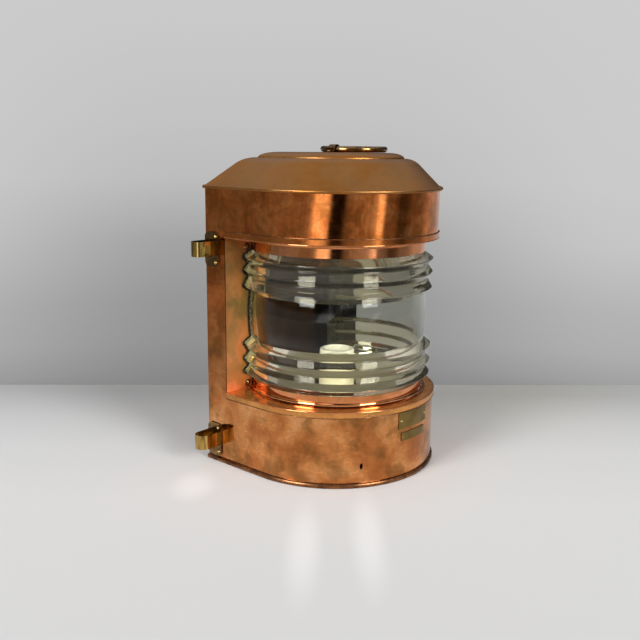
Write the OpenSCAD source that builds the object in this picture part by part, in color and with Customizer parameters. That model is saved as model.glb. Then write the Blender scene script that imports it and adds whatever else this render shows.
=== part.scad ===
// Navigation lantern with a half-round front and a drum lens of stepped rings.
// Millimetres, Z up. The front looks along -Y, the sides run back along +Y.
// The origin lies on the floor, at the centre of the half-round front.

/* [Casing] */
// Radius of the half-round front, half the width of the casing
shell_r = 150; // [145:1:160]
// Length of the straight sides behind the centre of the front
side_len = 115; // [112:1:130]
// Thickness of the copper sheet
sheet = 1; // [0.8:0.1:1.4]
// Height of the base box up to its top plate
base_h = 109.2; // [104:0.2:125]
// Height of the hood wall above its floor plate
hood_h = 66.8; // [60:0.2:80]
// Distance of the wing panels behind the centre
panel_y = 76; // [72:1:80]
// Space left between two sheets that are slipped together
slip = 0.15; // [0.1:0.05:0.3]

/* [Rims] */
// Height of the rolled foot bead
foot_h = 7; // [5:0.5:9]
// How far the foot bead stands proud of the wall
foot_proud = 3.2; // [2:0.2:5]
// Height of the turned-down skirt of the base plate
ledge_skirt_h = 8; // [5:0.5:12]
// How far that skirt stands proud of the wall
ledge_proud = 1.8; // [1.5:0.1:3]
// Height of the turned-up skirt of the hood floor
hood_skirt_h = 8.6; // [5:0.2:12]
// How far that skirt stands proud of the wall
hood_proud = 1.1; // [0.9:0.1:2]
// Height of the rolled bead round the roof
rim_h = 5.2; // [4:0.2:8]
// How far the roof bead stands proud of the wall
rim_proud = 4.2; // [3:0.2:6]

/* [Roof] */
// How far the foot of the roof slope lies below the top of the bead
roof_tuck = 1.6; // [0:0.2:2.4]
// Rise of the roof slope, which leans in by as much
roof_rise = 40; // [30:0.5:45]
// Radius of the rounded shoulder of the roof
shoulder_r = 29; // [20:1:36]
// Inset of the raised cap from the wall
cap_inset = 52.5; // [50:0.5:60]
// Height of the raised cap
cap_h = 7.9; // [5:0.1:10]
// How far in the rounded edge of the cap reaches
cap_round = 22; // [12:1:26]

/* [Lens] */
// How far the lens axis lies in front of the centre
lens_ahead = 6; // [4:0.5:6.5]
// Distance from the front of the wall radius to the ring tips
tip_setback = 10.5; // [8:0.5:14]
// Depth of the valleys between the rings
ring_depth = 7.8; // [5:0.2:9]
// Depth from the ring tips to the edge of the plain belt
belt_depth = 11; // [9.5:0.2:13]
// Bulge of the belt at its middle
belt_bulge = 2.4; // [1:0.2:4]
// Thickness of the glass behind the belt edge
belt_wall = 7.5; // [6:0.5:10]
// Number of rings above the belt, and as many below it
ring_count = 3; // [2:1:4]
// Height of the first ring tip from the middle of the belt
first_ring = 42.7; // [38:0.1:48]
// Distance from the first ring tip to the next
ring_pitch = 22.4; // [21:0.1:25]
// How much closer each further ring lies
pitch_step = 3.1; // [0:0.1:3.5]
// Fall from a ring tip to the root on its belt side
root_drop = 8.6; // [6:0.1:9.5]
// Rise from the last ring tip to the plain foot of the glass
last_rise = 10; // [8:0.5:12]
// Length of the plain foot of the glass inside a collar
foot_len = 13.2; // [10:0.2:16]
// Length of the foot that shows outside the collar
foot_shows = 0.4; // [0.2:0.1:1.5]
// Thickness of the rubber seat under the glass
seat_t = 3; // [2:0.2:5]
// Thickness of the rubber seat over the glass
top_seat_t = 6; // [4:0.2:8]
// Width of the rubber gasket round the lens section
gasket_w = 2.8; // [2:0.1:4]
// How far the gasket stands out of a wing panel
gasket_proud = 2.4; // [1:0.1:4]
// How far the glass reaches back behind a wing panel
lens_behind = 7; // [5:0.5:9]

/* [Fastenings] */
// Radius of the shank of a panel screw
screw_r = 2.5; // [2:0.1:3]
// Radius of the round head of a panel screw
screw_head_r = 5; // [4:0.1:5.4]
// Height of the lower panel screws above the base plate
low_screw_up = 6.6; // [6:0.2:8]
// Distance of the upper panel screws below the hood floor
top_screw_down = 15; // [13:0.2:15.4]
// Clear space between a screw head and the gasket
screw_space = 1.8; // [1.4:0.1:4]
// Radius of a rivet head
rivet_r = 2.6; // [2.2:0.1:3.2]
// Radius of a hinge pin
pin_r = 1.6; // [1.2:0.1:2]
// Running clearance on a radius, for pins and studs
run_gap = 0.05; // [0.03:0.01:0.09]

/* [Loops] */
// Width of a strap loop, from its front leg to its back leg
loop_w = 24; // [20:1:28]
// Reach of a strap loop from the wall plate
loop_reach = 32; // [26:1:40]
// Height of the strap
loop_h = 21; // [16:1:26]
// Thickness of the strap
strap_t = 2; // [1.5:0.1:3]
// Width of a wall plate
plate_w = 28; // [26:1:32]
// Height of a wall plate
plate_h = 50; // [44:1:56]
// Thickness of a wall plate
plate_t = 2; // [1.5:0.1:3]
// Height of the middle of the lower wall plates
low_plate_z = 33.5; // [33:0.5:60]
// How far the middle of the upper wall plates lies below the hood floor
top_plate_drop = 18; // [10:1:44]
// Distance between the two rivets of a wall plate
rivet_gap = 37; // [32:1:42]

/* [Lifting ring] */
// Radius of the ring to the middle of its bar
ring_r = 45.5; // [40:0.5:50]
// Radius of the ring bar
bar_r = 4.3; // [4:0.1:5.5]
// Distance of the ring saddle behind the centre
saddle_y = 5; // [0:1:20]
// Width of the saddle strap along the ring bar
saddle_w = 12; // [8:1:14]
// Thickness of the saddle strap
saddle_t = 1.6; // [1.2:0.1:2.4]
// Space between the ring bar and the saddle
bar_gap = 0.8; // [0.7:0.1:1.2]

/* [Rear door] */
// Width of the back frame beside the door
door_side = 35; // [30:1:42]
// Distance from the base plate up to the door
door_sill = 2.8; // [2:0.2:6]
// Distance from the door up to the roof bead
door_head = 6.8; // [5:0.2:12]
// Depth of the folded edge of the door
door_fold = 3.6; // [3:0.1:5]
// How far the door laps over the edge of its opening
door_lap = 9; // [7:0.5:12]
// Radius of a hinge knuckle
knuckle_r = 3.5; // [3.2:0.1:3.5]
// Height of a hinge
hinge_h = 50; // [40:1:60]
// Distance of a hinge from the end of the door
hinge_end = 30; // [10:1:60]
// Thickness of a hinge leaf
leaf_t = 1.5; // [1:0.1:2]
// Length of a turn button from its pivot to its tip
button_len = 24; // [20:1:28]
// Width of a turn button
button_w = 10; // [9:0.5:12]
// Thickness of a turn button
button_t = 2.5; // [2:0.1:4]

/* [Lamp and cable] */
// Radius of the porcelain lamp holder
holder_r = 26; // [24:0.5:28]
// Height of the lamp holder above the base plate
holder_h = 54; // [48:1:60]
// Radius inside the threaded shell of the holder
cap_thread_r = 13.5; // [13:0.1:14]
// Bore radius of the cable gland
cable_r = 5.5; // [4:0.1:6.5]
// Radius of the cable gland body
gland_r = 10; // [9:0.5:12]
// Height of the cable gland
gland_z = 52; // [40:1:70]

/* [Name plates] */
// Width of the large plate along the wall
big_plate_w = 65; // [50:1:80]
// Height of the large plate
big_plate_h = 23.5; // [16:0.5:26]
// Width of the small plate along the wall
small_plate_w = 53; // [40:1:70]
// Height of the small plate
small_plate_h = 12; // [8:0.5:14]
// Thickness of both plates
name_plate_t = 0.8; // [0.6:0.1:1.2]
// Distance from the base skirt to the large plate
plate_drop = 2; // [1:0.2:4]
// Gap between the two plates
plates_gap = 6; // [4:0.5:8]

/* [Hidden] */
$fn = 96;
far = 400;
eps = 0.5;
copper = "#c07a4e";
tarnish = "#96683a";
brass = "#b5964c";
black = "#1c1b1a";

// Lens outline, worked out from the middle of the belt upwards
tip_r = shell_r - tip_setback;
valley_r = tip_r - ring_depth;
belt_r = tip_r - belt_depth;
glass_in_r = belt_r - belt_wall;
foot_r = belt_r - 3;
function tip_z(i) = first_ring + i * ring_pitch - i * (i - 1) / 2 * pitch_step;
belt_half = first_ring - root_drop;
ribs_half = tip_z(ring_count - 1) + last_rise;
lens_half = ribs_half + foot_len;
belt_steps = 6;
tip_soft = 1.3;
tip_land = 0.7;
tip_slope = 2;
belt_points = [for (k = [0 : belt_steps])
    [belt_r + belt_bulge * (1 - pow(k / belt_steps, 2)), belt_half * k / belt_steps]];
ring_points = [for (i = [0 : ring_count - 1]) each concat(
    [[tip_r - tip_soft, tip_z(i) - tip_slope], [tip_r, tip_z(i) - tip_land],
     [tip_r, tip_z(i) + tip_land], [tip_r - tip_soft, tip_z(i) + tip_slope]],
    i < ring_count - 1 ? [[valley_r, tip_z(i + 1) - root_drop]] : [])];
upper_points = concat(belt_points, ring_points, [[foot_r, ribs_half], [foot_r, lens_half]]);
lower_points = [for (i = [len(upper_points) - 1 : -1 : 1]) [upper_points[i][0], -upper_points[i][1]]];
lens_points = concat(lower_points, upper_points);

// Heights that follow from the lens
lens_z = base_h + slip + seat_t + slip + lens_half;
hood_z = lens_z + lens_half + slip + top_seat_t + slip;
roof_base = hood_z + hood_h;
roof_z = roof_base + rim_h - roof_tuck;
wall_top = roof_z - sheet;
roof_top = roof_z + roof_rise;
cap_top = roof_top + cap_h;
lens_y = -lens_ahead;
lens_back = panel_y + sheet + lens_behind;
collar_r = foot_r + slip;
collar_t = sheet + 0.2;
collar_low_top = lens_z - ribs_half - foot_shows;
collar_high_low = lens_z + ribs_half + foot_shows;
gasket_front = panel_y - gasket_proud;
low_screw_z = base_h + low_screw_up;
top_screw_z = hood_z - top_screw_down;
// Half width of the gasket where it passes the collars, measured in the panel plane
foot_gasket_x = sqrt(pow(foot_r + slip + gasket_w, 2) - pow(gasket_front - lens_y, 2));
screw_x = foot_gasket_x + screw_space + screw_head_r;
retainer_y = lens_back + slip;
retainer_in = sqrt(pow(glass_in_r, 2) - pow(lens_back - lens_y, 2)) + 5;

// Rear door, hinges and turn buttons
seal_gap = 0.3;
door_w = 2 * (shell_r - door_side);
door_z = base_h + door_sill;
door_h = roof_base - door_head - door_z;
door_y = side_len + seal_gap + door_fold;
door_face = door_y + sheet;
open_w = door_w - 2 * door_lap;
open_h = door_h - 2 * door_lap;
hinge_gap = 1.2;
hinge_x = door_w / 2 + hinge_gap + knuckle_r;
hinge_y = side_len + 0.1 + knuckle_r;
low_hinge_z = door_z + hinge_end;
top_hinge_z = door_z + door_h - hinge_end - hinge_h;
leaf_edge = 3.3;
leaf_w = shell_r - sheet - leaf_edge - hinge_x;
leaf_gap = 0.3;
button_out = 10;
button_x = -(door_w / 2 + button_out);
button_y = door_face + 0.5;
low_button_z = door_z + door_h / 4;
top_button_z = door_z + door_h * 3 / 4;
stud_r = 3;

// Loops and their wall plates
loop_back = side_len;
loop_y = loop_back - loop_w / 2;
plate_y = loop_back - plate_w / 2;
rivet_y = loop_back - plate_w + 6.6;
top_plate_z = hood_z - top_plate_drop;

// Lifting ring
bar_lift = 0.35;
bar_z = cap_top + bar_lift + bar_r;
saddle_in_r = bar_r + bar_gap;
saddle_out_r = saddle_in_r + saddle_t;
saddle_foot = 10;

// Lamp holder and gland
holder_top = base_h + holder_h;
shell_low = base_h + 14;
shell_top = holder_top - 13;
thread_t = 0.7;

// Name plates and their places on the wall
big_plate_top = base_h - sheet - ledge_skirt_h + sheet - plate_drop;
small_plate_top = big_plate_top - big_plate_h - plates_gap;
plate_r = shell_r + slip;

// Points of a quarter round from the slope angle up to level, for the roof shoulder
arc_steps = 8;
slope_run = roof_rise - shoulder_r * (1 - cos(45));
roof_points = concat([[0, roof_z], [slope_run, roof_z + slope_run]],
    [for (k = [1 : arc_steps]) let (a = 45 - 45 * k / arc_steps)
        [slope_run + shoulder_r * (sin(45) - sin(a)), roof_top - shoulder_r * (1 - cos(a))]]);

// Move every vertex of an open outline outwards by d
function unit(v) = v / norm(v);
function side_of(a, b) = let (u = unit(b - a)) [u[1], -u[0]];
function grown(p, d) = [for (i = [0 : len(p) - 1])
    let (n1 = side_of(p[max(i - 1, 0)], p[max(i, 1)]),
         n2 = side_of(p[min(i, len(p) - 2)], p[min(i + 1, len(p) - 1)]))
    p[i] + d * (n1 + n2) / (1 + n1 * n2)];

// A solid of D shape in plan. Each point is [inset from the wall, height].
module d_form(pts, r = shell_r, back = side_len) {
    low = pts[0][1];
    high = pts[len(pts) - 1][1];
    half = [for (p = pts) [r - p[0], p[1]]];
    mirrored = [for (i = [len(half) - 1 : -1 : 0]) [-half[i][0], half[i][1]]];
    intersection() {
        union() {
            rotate([0, 0, 180])
                rotate_extrude(angle = 180)
                    polygon(concat([[0, low]], half, [[0, high]]));
            translate([0, back + 2 * eps, 0])
                rotate([90, 0, 0])
                    linear_extrude(back + 2 * eps)
                        polygon(concat(half, mirrored));
        }
        translate([-far / 2, 0, 0])
            rotate([90, 0, 90])
                linear_extrude(far)
                    polygon(concat([[-far / 2, low]],
                        [for (p = pts) [back - p[0], p[1]]], [[-far / 2, high]]));
    }
}

// A flat D-shaped slab, inset from the wall on all sides
module d_slab(inset, z, h, back = side_len) {
    d_form([[inset, z], [inset, z + h]], shell_r, back);
}

// Keeps what lies in front of, or behind, a plane across the lantern
module before(y) {
    translate([-far / 2, y - far, -eps])
        cube([far, far, far + 2 * roof_top]);
}
module behind(y) {
    translate([-far / 2, y, -eps])
        cube([far, far, far + 2 * roof_top]);
}

// A drum about the lens axis whose outline is the lens outline grown by d
module lens_drum(d, in_r) {
    pts = grown(lens_points, d);
    last = len(pts) - 1;
    translate([0, lens_y, lens_z])
        rotate_extrude()
            polygon(concat([[in_r, pts[0][1]]], pts, [[in_r, pts[last][1]]]));
}

// A ring about the lens axis
module lens_ring(in_r, out_r, z, h) {
    translate([0, lens_y, z])
        difference() {
            cylinder(r = out_r, h = h);
            translate([0, 0, -eps])
                cylinder(r = in_r, h = h + 2 * eps);
        }
}

// A bar with round ends or corners, lying in the YZ plane and thick along X
module round_plate(w, h, t, r) {
    rotate([90, 0, 90])
        linear_extrude(t) {
            square([w - 2 * r, h], center = true);
            square([w, h - 2 * r], center = true);
            for (x = [-1, 1], y = [-1, 1])
                translate([x * (w / 2 - r), y * (h / 2 - r)])
                    circle(r = r);
        }
}

// A domed head on a flat face, standing along +Z
module dome(r, h) {
    ball = (r * r + h * h) / (2 * h);
    intersection() {
        translate([0, 0, h - ball])
            sphere(r = ball);
        cylinder(r = r + 1, h = h + 1);
    }
}

// A rivet on a face, standing along +Z, with its shank below, flush at its inner end
module flush_rivet(grip, head_h) {
    dome(rivet_r, head_h);
    translate([0, 0, -grip])
        cylinder(r = shank_r, h = grip + 0.1);
}

// The same rivet with a low inner head
module rivet(grip, head_h) {
    flush_rivet(grip, head_h);
    translate([0, 0, -grip - 0.1])
        cylinder(r = shank_r, h = grip);
    translate([0, 0, -grip])
        rotate([180, 0, 0])
            dome(rivet_r - 0.4, 1);
}

// The hole for that rivet
module rivet_hole(grip) {
    translate([0, 0, -grip - 1])
        cylinder(r = shank_r + rivet_fit, h = grip + 2);
}
shank_r = 1.4;
rivet_fit = 0.02;

module body_shell() {
    bay_low = base_h - sheet - slip;
    bay_high = hood_z + sheet + slip;
    color(copper)
        difference() {
            d_slab(0, 0, wall_top);
            d_slab(sheet, -eps, wall_top + 2 * eps, side_len + 2 * sheet);
            translate([-far / 2, -far / 2, bay_low])
                cube([far, far / 2 + panel_y, bay_high - bay_low]);
            rotate([0, 0, -drain_angle])
                translate([0, -shell_r + 2 * sheet, drain_z])
                    rotate([90, 0, 0])
                        hull()
                            for (s = [-1, 1])
                                translate([0, s * drain_long / 2, 0])
                                    cylinder(r = drain_r, h = 4 * sheet);
            loop_rivet_places()
                rivet_hole(plate_t + sheet);
        }
}
// An upright drain slot low in the front wall
drain_angle = 34.5;
drain_z = 31;
drain_r = 2;
drain_long = 4;

// A rolled bead round the casing: a wall skirt with a rounded outer side
module bead(z, h, proud) {
    steps = 8;
    difference() {
        d_form([for (k = [0 : steps]) let (a = -90 + 180 * k / steps)
            [-slip - (proud - slip) * pow(cos(a), 0.6), z + h / 2 * (1 + sin(a))]]);
        d_slab(-slip, z - eps, h + 2 * eps, side_len);
    }
}

module foot_bead() {
    color(tarnish)
        bead(0, foot_h, foot_proud);
}

module bottom_plate() {
    color(tarnish)
        d_slab(sheet + slip, 0, sheet, side_len);
}

// A plate across the casing with a skirt outside the wall of the front part
module skirted_plate(z, skirt_z, skirt_h, proud) {
    union() {
        intersection() {
            union() {
                d_slab(-proud, z, sheet);
                difference() {
                    d_slab(-proud, skirt_z, skirt_h);
                    d_slab(-slip, skirt_z - eps, skirt_h + 2 * eps);
                }
            }
            before(panel_y - slip);
        }
        intersection() {
            d_slab(sheet + slip, z, sheet, side_len);
            union() {
                translate([0, 0, z - eps])
                    behind(panel_y - eps);
            }
        }
    }
}

module base_top_plate() {
    color(tarnish)
        difference() {
            skirted_plate(base_h - sheet, base_h - ledge_skirt_h - sheet, ledge_skirt_h + sheet, ledge_proud);
            translate([0, lens_y, base_h - 2 * sheet])
                cylinder(r = wire_hole_r, h = 4 * sheet);
            holder_screw_places()
                translate([0, 0, base_h - 2 * sheet])
                    cylinder(r = small_screw_r + 0.3, h = 4 * sheet);
        }
}
wire_hole_r = 8;
small_screw_r = 2;

module hood_floor_plate() {
    color(copper)
        difference() {
            skirted_plate(hood_z, hood_z, hood_skirt_h, hood_proud);
            intersection() {
                translate([0, lens_y, hood_z - eps])
                    cylinder(r = glass_in_r - hole_rim, h = sheet + 2 * eps);
                before(side_len - sheet - hole_rim);
            }
        }
}
hole_rim = 8;

// A sheet ring round the foot of the glass, standing on z = 0 with its edge flared outwards
module flared_collar(h) {
    steps = 6;
    mid_r = collar_r + collar_t + flare_r;
    mid_z = collar_t + flare_r;
    flange_r = mid_r + flare_flat;
    function arc(r) = [for (k = [0 : steps]) let (a = 180 + 90 * k / steps)
        [mid_r + r * cos(a), mid_z + r * sin(a)]];
    inner = arc(flare_r + collar_t);
    rotate_extrude()
        polygon(concat([[collar_r, h], [collar_r + collar_t, h]], arc(flare_r),
            [[flange_r, collar_t], [flange_r, 0]],
            [for (k = [steps : -1 : 0]) inner[k]]));
}
flare_r = 5;
flare_flat = 1.5;

module lower_lens_collar() {
    color(copper)
        intersection() {
            translate([0, lens_y, base_h])
                flared_collar(collar_low_top - base_h);
            before(gasket_front - slip);
        }
}

module upper_lens_collar() {
    color(copper)
        intersection() {
            translate([0, lens_y, hood_z])
                mirror([0, 0, 1])
                    flared_collar(hood_z - collar_high_low);
            before(gasket_front - slip);
        }
}

module left_wing_panel() {
    wide = shell_r - sheet - slip;
    color(copper)
        difference() {
            union() {
                translate([-wide, panel_y, base_h])
                    cube([wide - glass_in_r / 2, sheet, hood_z - base_h]);
                translate([-wide, panel_y, base_h])
                    cube([sheet, panel_fold, hood_z - base_h]);
            }
            lens_drum(gasket_w + 2 * slip, 0);
            translate([0, lens_y, base_h - eps])
                cylinder(r = foot_r + gasket_w + 2 * slip, h = hood_z - base_h + 2 * eps);
            panel_screw_places()
                cylinder(r = screw_r + 0.2, h = 4 * sheet, center = true);
        }
}
panel_fold = 10;

module right_wing_panel() {
    mirror([1, 0, 0])
        left_wing_panel();
}

// The two screw places of the left wing panel, with Z along the screw to the front
module panel_screw_places() {
    for (z = [low_screw_z, top_screw_z])
        translate([-screw_x, panel_y, z])
            rotate([90, 0, 0])
                children();
}

module both_sides() {
    children();
    mirror([1, 0, 0])
        children();
}

module lens() {
    color("#cfd6c4", 0.45)
        intersection() {
            lens_drum(0, glass_in_r);
            before(lens_back);
        }
}

module lens_seat(z, h) {
    color(black)
        intersection() {
            lens_ring(glass_in_r - 3, foot_r, z, h);
            before(lens_back);
        }
}

module lower_lens_seat() {
    lens_seat(base_h + slip, seat_t);
}

module upper_lens_seat() {
    lens_seat(hood_z - slip - top_seat_t, top_seat_t);
}

module left_lens_gasket() {
    color(black)
        difference() {
            intersection() {
                union() {
                    lens_drum(gasket_w + slip, 0);
                    translate([0, lens_y, base_h + slip])
                        cylinder(r = foot_r + slip + gasket_w, h = hood_z - base_h - 2 * slip);
                }
                translate([-far / 2, gasket_front, base_h + slip])
                    cube([far / 2 - glass_in_r / 2, gasket_proud + sheet + gasket_back, hood_z - base_h - 2 * slip]);
            }
            lens_drum(slip, 0);
            translate([0, lens_y, 0])
                cylinder(r = foot_r + slip, h = far + hood_z);
        }
}
gasket_back = 3;

module right_lens_gasket() {
    mirror([1, 0, 0])
        left_lens_gasket();
}

// A brass strip behind the flat end of the glass, spaced off the panel at its screws
module left_lens_retainer() {
    low = base_h + 1;
    high = hood_z - 6;
    color(brass)
        difference() {
            union() {
                translate([-screw_x - 7, retainer_y, low])
                    cube([screw_x + 7 - retainer_in, leaf_t, high - low]);
                panel_screw_places()
                    translate([0, 0, panel_y - retainer_y])
                        cylinder(r = 5, h = retainer_y - panel_y - sheet);
            }
            panel_screw_places()
                translate([0, 0, -lens_behind - 8])
                    cylinder(r = screw_r + 0.2, h = lens_behind + 12);
        }
}

module right_lens_retainer() {
    mirror([1, 0, 0])
        left_lens_retainer();
}

module panel_screws() {
    long = retainer_y + leaf_t + nut_h + 1 - panel_y;
    color(brass)
        both_sides()
            panel_screw_places() {
                translate([0, 0, -long])
                    cylinder(r = screw_r, h = long);
                difference() {
                    dome(screw_head_r, 3.2);
                    translate([-slot_w / 2, -screw_head_r, 2])
                        cube([slot_w, 2 * screw_head_r, 3]);
                }
            }
}
nut_h = 3.4;
slot_w = 1.2;

module panel_nuts() {
    color(brass)
        both_sides()
            panel_screw_places()
                translate([0, 0, panel_y - retainer_y - leaf_t - nut_h])
                    difference() {
                        cylinder(r = 4.6, h = nut_h, $fn = 6);
                        translate([0, 0, -eps])
                            cylinder(r = screw_r + 0.02, h = nut_h + 2 * eps);
                    }
}

// A hipped roof with a rounded shoulder, open below, and its rolled bead
module roof() {
    inner = [for (p = roof_points) [p[0] + sheet * 1.2, p[1] - (p[1] > roof_z ? sheet : 0)]];
    color(tarnish)
        union() {
            difference() {
                d_form(concat([[-slip - sheet, roof_z - 1]],
                    [for (p = roof_points) [p[0] - slip - sheet, p[1]]]));
                d_form(concat([[-slip, roof_z - 1 - eps], [0, roof_z + slip]],
                    [for (p = inner) if (p[1] > roof_z + slip) p]));
                translate([0, saddle_y, roof_z])
                    cylinder(r = vent_r, h = 2 * roof_rise);
            }
            bead(roof_base, rim_h, rim_proud);
        }
}
vent_r = 55;

// A raised cap like a shallow pan turned over, open to the vent hole below it
module roof_cap() {
    steps = 9;
    outer = [for (k = [0 : steps]) let (a = 90 * k / steps)
        [cap_inset + cap_round * (1 - cos(a)), roof_top + cap_h * sin(a)]];
    inner = grown(outer, sheet);
    color(tarnish)
        difference() {
            d_form(outer);
            d_form(inner);
            saddle_places()
                rivet_hole(saddle_t + sheet);
        }
}

module saddle_places() {
    translate([0, saddle_y, cap_top])
        for (s = [-1, 1])
            translate([s * (saddle_out_r + saddle_foot * 0.55), 0, saddle_t])
                children();
}

// A strap bent over the ring bar, which runs along Y where the saddle holds it
module ring_saddle() {
    mid = bar_z - cap_top;
    color(brass)
        difference() {
            translate([0, saddle_y + saddle_w / 2, cap_top])
                rotate([90, 0, 0])
                    linear_extrude(saddle_w)
                        difference() {
                            union() {
                                translate([0, mid])
                                    circle(r = saddle_out_r);
                                translate([-saddle_out_r, 0])
                                    square([2 * saddle_out_r, mid]);
                                translate([-saddle_out_r - saddle_foot, 0])
                                    square([2 * (saddle_out_r + saddle_foot), saddle_t]);
                            }
                            translate([0, mid])
                                circle(r = saddle_in_r);
                            translate([-saddle_in_r, -eps])
                                square([2 * saddle_in_r, mid + eps]);
                            translate([-far, -far])
                                square([2 * far, far]);
                        }
            saddle_places()
                rivet_hole(saddle_t + sheet);
        }
}

module saddle_rivets() {
    color(brass)
        saddle_places()
            rivet(saddle_t + sheet, 1.5);
}

module lifting_ring() {
    color("#6e5c3a")
        translate([ring_r, saddle_y, bar_z])
            rotate_extrude()
                translate([ring_r, 0])
                    circle(r = bar_r, $fn = 48);
}

// One strap loop on the left wall: a closed band, flat on its plate and round outside
module loop(z) {
    nose = loop_w / 2;
    wall_x = shell_r + plate_t;
    color(brass)
        translate([0, 0, z - loop_h / 2])
            linear_extrude(loop_h)
                difference() {
                    union() {
                        translate([-wall_x - loop_reach + nose, loop_y])
                            circle(r = nose);
                        translate([-wall_x - loop_reach + nose, loop_y - nose])
                            square([loop_reach - nose, loop_w]);
                    }
                    translate([-wall_x - loop_reach + nose, loop_y])
                        circle(r = nose - strap_t);
                    translate([-wall_x - loop_reach + nose, loop_y - nose + strap_t])
                        square([loop_reach - nose - strap_t, loop_w - 2 * strap_t]);
                }
}

module loop_plate(z) {
    color(brass)
        difference() {
            translate([-shell_r - plate_t, plate_y, z])
                round_plate(plate_w, plate_h, plate_t, 8);
            loop_rivet_places()
                rivet_hole(plate_t + sheet);
        }
}

module upper_left_loop() {
    loop(top_plate_z + loop_rise);
}
module upper_right_loop() {
    mirror([1, 0, 0])
        loop(top_plate_z + loop_rise);
}
module lower_left_loop() {
    loop(low_plate_z + loop_rise);
}
module lower_right_loop() {
    mirror([1, 0, 0])
        loop(low_plate_z + loop_rise);
}
module upper_left_loop_plate() {
    loop_plate(top_plate_z);
}
module upper_right_loop_plate() {
    mirror([1, 0, 0])
        loop_plate(top_plate_z);
}
module lower_left_loop_plate() {
    loop_plate(low_plate_z);
}
module lower_right_loop_plate() {
    mirror([1, 0, 0])
        loop_plate(low_plate_z);
}
loop_rise = 2;

module loop_rivet_places() {
    both_sides()
        for (z = [low_plate_z, top_plate_z], s = [-1, 1])
            translate([-shell_r - plate_t, rivet_y, z + s * rivet_gap / 2])
                rotate([0, -90, 0])
                    children();
}

module loop_rivets() {
    color(brass)
        loop_rivet_places()
            flush_rivet(plate_t + sheet, 2);
}

// The back of the casing: a sheet between the sides, with a framed opening
module back_frame() {
    wide = shell_r - sheet - slip;
    color(copper)
        difference() {
            translate([-wide, side_len - sheet, sheet + slip])
                cube([2 * wide, sheet, wall_top - sheet - 2 * slip]);
            translate([-open_w / 2, side_len - 2 * sheet, door_z + door_lap])
                cube([open_w, 4 * sheet, open_h]);
            translate([0, side_len + sheet, gland_z])
                rotate([90, 0, 0])
                    cylinder(r = gland_r * 0.8 + slip, h = 4 * sheet);
            frame_rivet_places()
                rivet_hole(leaf_t + sheet);
        }
}

module rear_door() {
    color(copper)
        difference() {
            translate([-door_w / 2, side_len + seal_gap, door_z])
                cube([door_w, door_fold + sheet, door_h]);
            translate([-door_w / 2 + sheet, side_len + seal_gap - eps, door_z + sheet])
                cube([door_w - 2 * sheet, door_fold + eps, door_h - 2 * sheet]);
            door_rivet_places()
                rivet_hole(leaf_t + sheet);
        }
}

module door_seal() {
    in = sheet + slip;
    wide = door_lap - sheet - 1.5;
    color(black)
        difference() {
            translate([-door_w / 2 + in, side_len + seal_gap, door_z + in])
                cube([door_w - 2 * in, door_fold, door_h - 2 * in]);
            translate([-door_w / 2 + in + wide, side_len - eps, door_z + in + wide])
                cube([door_w - 2 * (in + wide), door_fold + 3 * eps, door_h - 2 * (in + wide)]);
        }
}

// Knuckles of a hinge: three in a row, the middle one on the door
module knuckles(z, which) {
    part = (hinge_h - 2 * leaf_gap) / 3;
    for (k = which)
        translate([hinge_x, hinge_y, z + k * (part + leaf_gap)])
            children();
}
knuckle_h = (hinge_h - 2 * leaf_gap) / 3;

module frame_leaf(z) {
    color(brass)
        difference() {
            union() {
                translate([hinge_x + knuckle_r + leaf_gap, side_len, z])
                    cube([leaf_w - knuckle_r - leaf_gap, leaf_t, hinge_h]);
                knuckles(z, [0, 2]) {
                    cylinder(r = knuckle_r, h = knuckle_h);
                    translate([0, side_len - hinge_y, 0])
                        cube([knuckle_r + 1, leaf_t, knuckle_h]);
                }
            }
            translate([hinge_x, hinge_y, z - eps])
                cylinder(r = pin_r + run_gap, h = hinge_h + 2 * eps);
            frame_rivet_places()
                rivet_hole(leaf_t + sheet);
        }
}

module door_leaf(z) {
    color(brass)
        difference() {
            union() {
                translate([hinge_x - leaf_w, door_face, z])
                    cube([leaf_w - knuckle_r - leaf_gap, leaf_t, hinge_h]);
                knuckles(z, [1]) {
                    cylinder(r = knuckle_r, h = knuckle_h);
                    translate([-knuckle_r - 1, door_face - hinge_y, 0])
                        cube([knuckle_r + 1, leaf_t, knuckle_h]);
                }
            }
            translate([hinge_x, hinge_y, z - eps])
                cylinder(r = pin_r + run_gap, h = hinge_h + 2 * eps);
            door_rivet_places()
                rivet_hole(leaf_t + sheet);
        }
}

module upper_frame_leaf() {
    frame_leaf(top_hinge_z);
}
module lower_frame_leaf() {
    frame_leaf(low_hinge_z);
}
module upper_door_leaf() {
    door_leaf(top_hinge_z);
}
module lower_door_leaf() {
    door_leaf(low_hinge_z);
}

module hinge_pins() {
    color(brass)
        for (z = [low_hinge_z, top_hinge_z])
            translate([hinge_x, hinge_y, z]) {
                translate([0, 0, -0.2])
                    cylinder(r = pin_r, h = hinge_h + 0.4);
                translate([0, 0, hinge_h + 0.2])
                    dome(pin_r + 1, 1.6);
                translate([0, 0, -0.2])
                    rotate([180, 0, 0])
                        dome(pin_r + 1, 1.6);
            }
}

module leaf_rivet_places(x, y) {
    for (z = [low_hinge_z, top_hinge_z], k = [0.2, 0.8])
        translate([x, y, z + k * hinge_h])
            rotate([-90, 0, 0])
                children();
}
module frame_rivet_places() {
    leaf_rivet_places(hinge_x + leaf_w * 0.6, side_len + leaf_t)
        children();
}
module door_rivet_places() {
    leaf_rivet_places(hinge_x - leaf_w * 0.62, door_face + leaf_t)
        children();
}

module frame_leaf_rivets() {
    color(brass)
        frame_rivet_places()
            rivet(leaf_t + sheet, 1.4);
}
module door_leaf_rivets() {
    color(brass)
        door_rivet_places()
            rivet(leaf_t + sheet, 1.4);
}

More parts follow.
